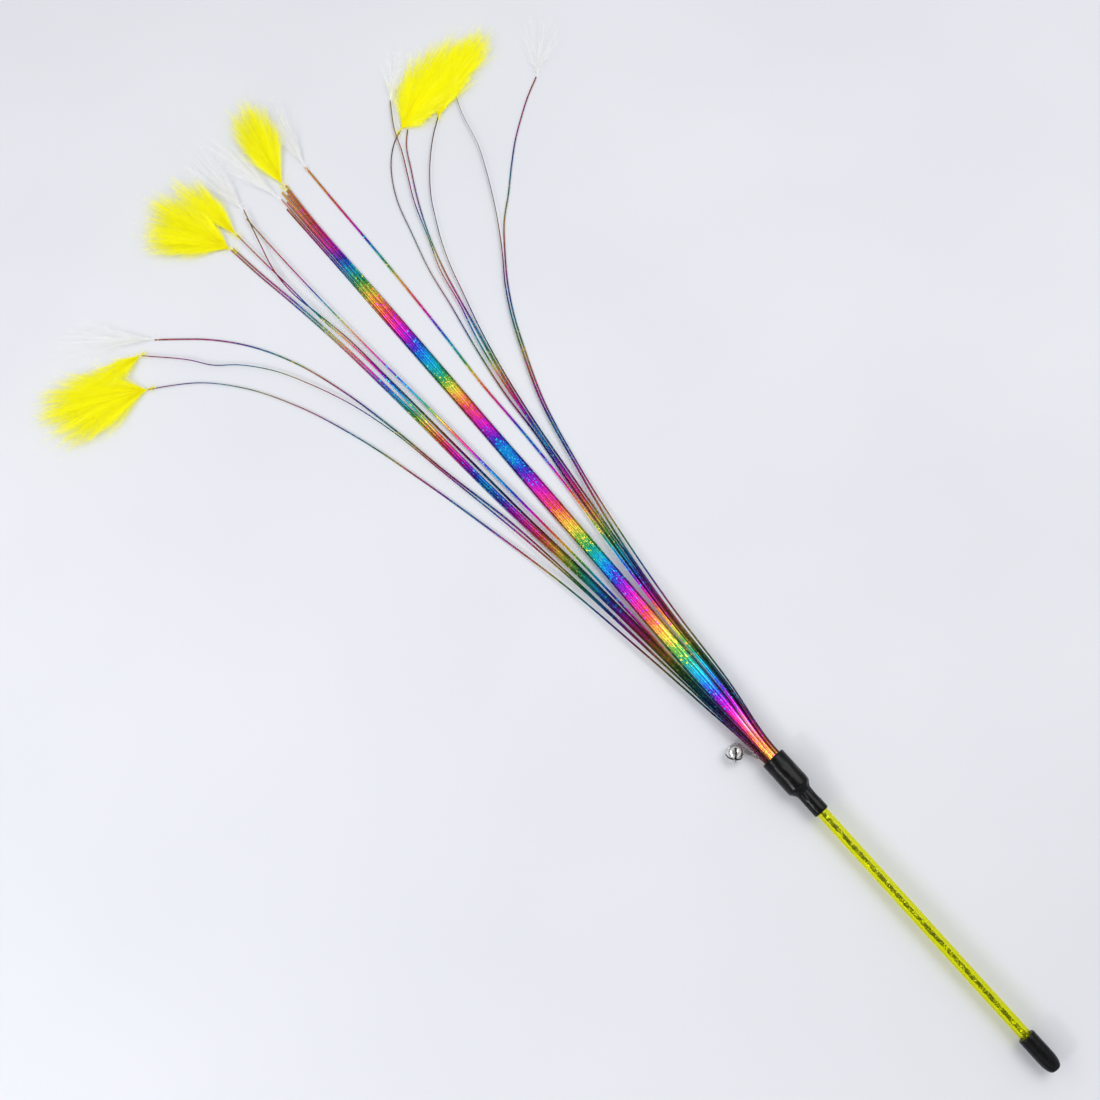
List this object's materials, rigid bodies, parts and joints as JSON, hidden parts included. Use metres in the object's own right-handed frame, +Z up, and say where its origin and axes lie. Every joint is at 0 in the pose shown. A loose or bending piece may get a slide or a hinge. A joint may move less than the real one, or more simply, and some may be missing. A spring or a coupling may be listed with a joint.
{
  "type": "feather wand",
  "caption": "Tube-handled wand with a fan of springy rainbow film strands ending in feathers, a reducing sleeve, an end cap and a jingle bell on a cord loop.",
  "frame": {"origin": "centre of the flat tip of the end cap, on the wand's axis", "axes": "+Y runs along the wand from the butt to the feathers, +Z is up as the wand lies on a surface, and +X is to the right of the fan seen from above"},
  "size_m": [0.4357, 0.7506, 0.014],
  "materials": {
    "black_vinyl": "soft moulded vinyl, glossy",
    "neon_tube": "clear tinted, polished",
    "foil": "crinkled foil",
    "glue": "set hot-melt",
    "bell_metal": "bright plated",
    "pellet_steel": "plain",
    "metallic_cord": "twisted metallic thread",
    "rainbow_film": "holographic foil film, rainbow bands, fine glitter",
    "yellow_feather": "dyed down",
    "white_feather": "down"
  },
  "bodies": {
    "handle": {"end_cap": "black_vinyl", "handle_tube": "neon_tube", "foil_liner": "foil", "reducing_sleeve": "black_vinyl", "root_plug": "glue"},
    "loop": {"bell_loop": "metallic_cord"},
    "bell": {"bell_cap": "bell_metal", "bell_cup": "bell_metal", "bell_eye": "bell_metal"},
    "pellet": {"bell_pellet": "pellet_steel"},
    "far_left_spray": {"far_left_strand_1": "rainbow_film", "far_left_strand_2": "rainbow_film", "far_left_strand_3": "rainbow_film", "far_left_plume_1": "white_feather", "far_left_plume_2": "yellow_feather", "far_left_plume_3": "yellow_feather"},
    "left_spray": {"left_strand_1": "rainbow_film", "left_strand_2": "rainbow_film", "left_strand_3": "rainbow_film", "left_strand_4": "rainbow_film", "left_strand_5": "rainbow_film", "left_plume_1": "yellow_feather", "left_plume_2": "yellow_feather", "left_plume_3": "white_feather"},
    "centre_spray": {"centre_strand_1": "rainbow_film", "centre_strand_2": "rainbow_film", "centre_strand_3": "rainbow_film", "centre_strand_4": "rainbow_film", "centre_strand_5": "rainbow_film", "centre_strand_6": "rainbow_film", "centre_strand_7": "rainbow_film", "centre_strand_8": "rainbow_film", "centre_plume_1": "yellow_feather", "centre_plume_2": "white_feather", "centre_plume_3": "white_feather"},
    "right_spray": {"right_strand_1": "rainbow_film", "right_strand_2": "rainbow_film", "right_strand_3": "rainbow_film", "right_strand_4": "rainbow_film", "right_strand_5": "rainbow_film", "right_plume_1": "yellow_feather", "right_plume_2": "yellow_feather", "right_plume_3": "yellow_feather", "right_plume_4": "white_feather"},
    "far_right_spray": {"far_right_strand_1": "rainbow_film", "far_right_plume_1": "white_feather"}
  },
  "joints": [
    {"name": "loop_swing", "type": "hinge", "parent": "handle", "child": "loop", "pos_m": [-0.0045, 0.203, -0.003], "axis": [0, 0, 1], "range_deg": [0, 60]},
    {"name": "bell_turn", "type": "hinge", "parent": "loop", "child": "bell", "pos_m": [-0.0102, 0.2215, -0.0052], "axis": [0, 0, 1], "range_deg": [-70, 0]},
    {"name": "pellet_roll", "type": "hinge", "parent": "bell", "child": "pellet", "pos_m": [-0.0135, 0.218, -0.002], "axis": [0, 1, 0], "range_deg": [-80, 80]},
    {"name": "far_left_bend", "type": "hinge", "parent": "handle", "child": "far_left_spray", "pos_m": [0, 0.2, 0], "axis": [1, 0, 0], "range_deg": [0, 18], "stiffness_Nm_per_rad": 0.03},
    {"name": "left_bend", "type": "hinge", "parent": "handle", "child": "left_spray", "pos_m": [0, 0.2, 0], "axis": [1, 0, 0], "range_deg": [0, 18], "stiffness_Nm_per_rad": 0.03},
    {"name": "centre_bend", "type": "hinge", "parent": "handle", "child": "centre_spray", "pos_m": [0, 0.2, 0], "axis": [1, 0, 0], "range_deg": [0, 18], "stiffness_Nm_per_rad": 0.03},
    {"name": "right_bend", "type": "hinge", "parent": "handle", "child": "right_spray", "pos_m": [0, 0.2, 0], "axis": [1, 0, 0], "range_deg": [0, 18], "stiffness_Nm_per_rad": 0.03},
    {"name": "far_right_bend", "type": "hinge", "parent": "handle", "child": "far_right_spray", "pos_m": [0, 0.2, 0], "axis": [1, 0, 0], "range_deg": [0, 18], "stiffness_Nm_per_rad": 0.01}
  ]
}
